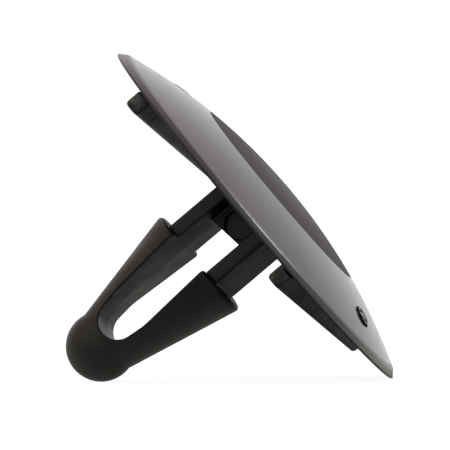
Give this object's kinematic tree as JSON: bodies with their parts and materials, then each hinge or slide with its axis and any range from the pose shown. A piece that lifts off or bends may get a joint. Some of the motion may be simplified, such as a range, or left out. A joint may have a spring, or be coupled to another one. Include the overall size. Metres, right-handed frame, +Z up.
{
  "type": "push-in panel clip",
  "caption": "Push-in panel clip with a shallow domed head, straight ribs under it, and a split stem with barbs and a ball nose.",
  "frame": {"origin": "centre of the bounding box at its lowest height, on the surface the clip rests on", "axes": "+Z up with the clip lying on its rim and its nose, +Y along the head's width, stem pointing towards -X and down, dome towards +X and up"},
  "size_m": [0.0308, 0.04, 0.0309],
  "materials": {
    "black_nylon": "moulded black nylon, glossy on the head with a matt round zone at its centre, satin on the stem and ribs"
  },
  "bodies": {
    "root": {"clip_body": "black_nylon"}
  },
  "joints": []
}
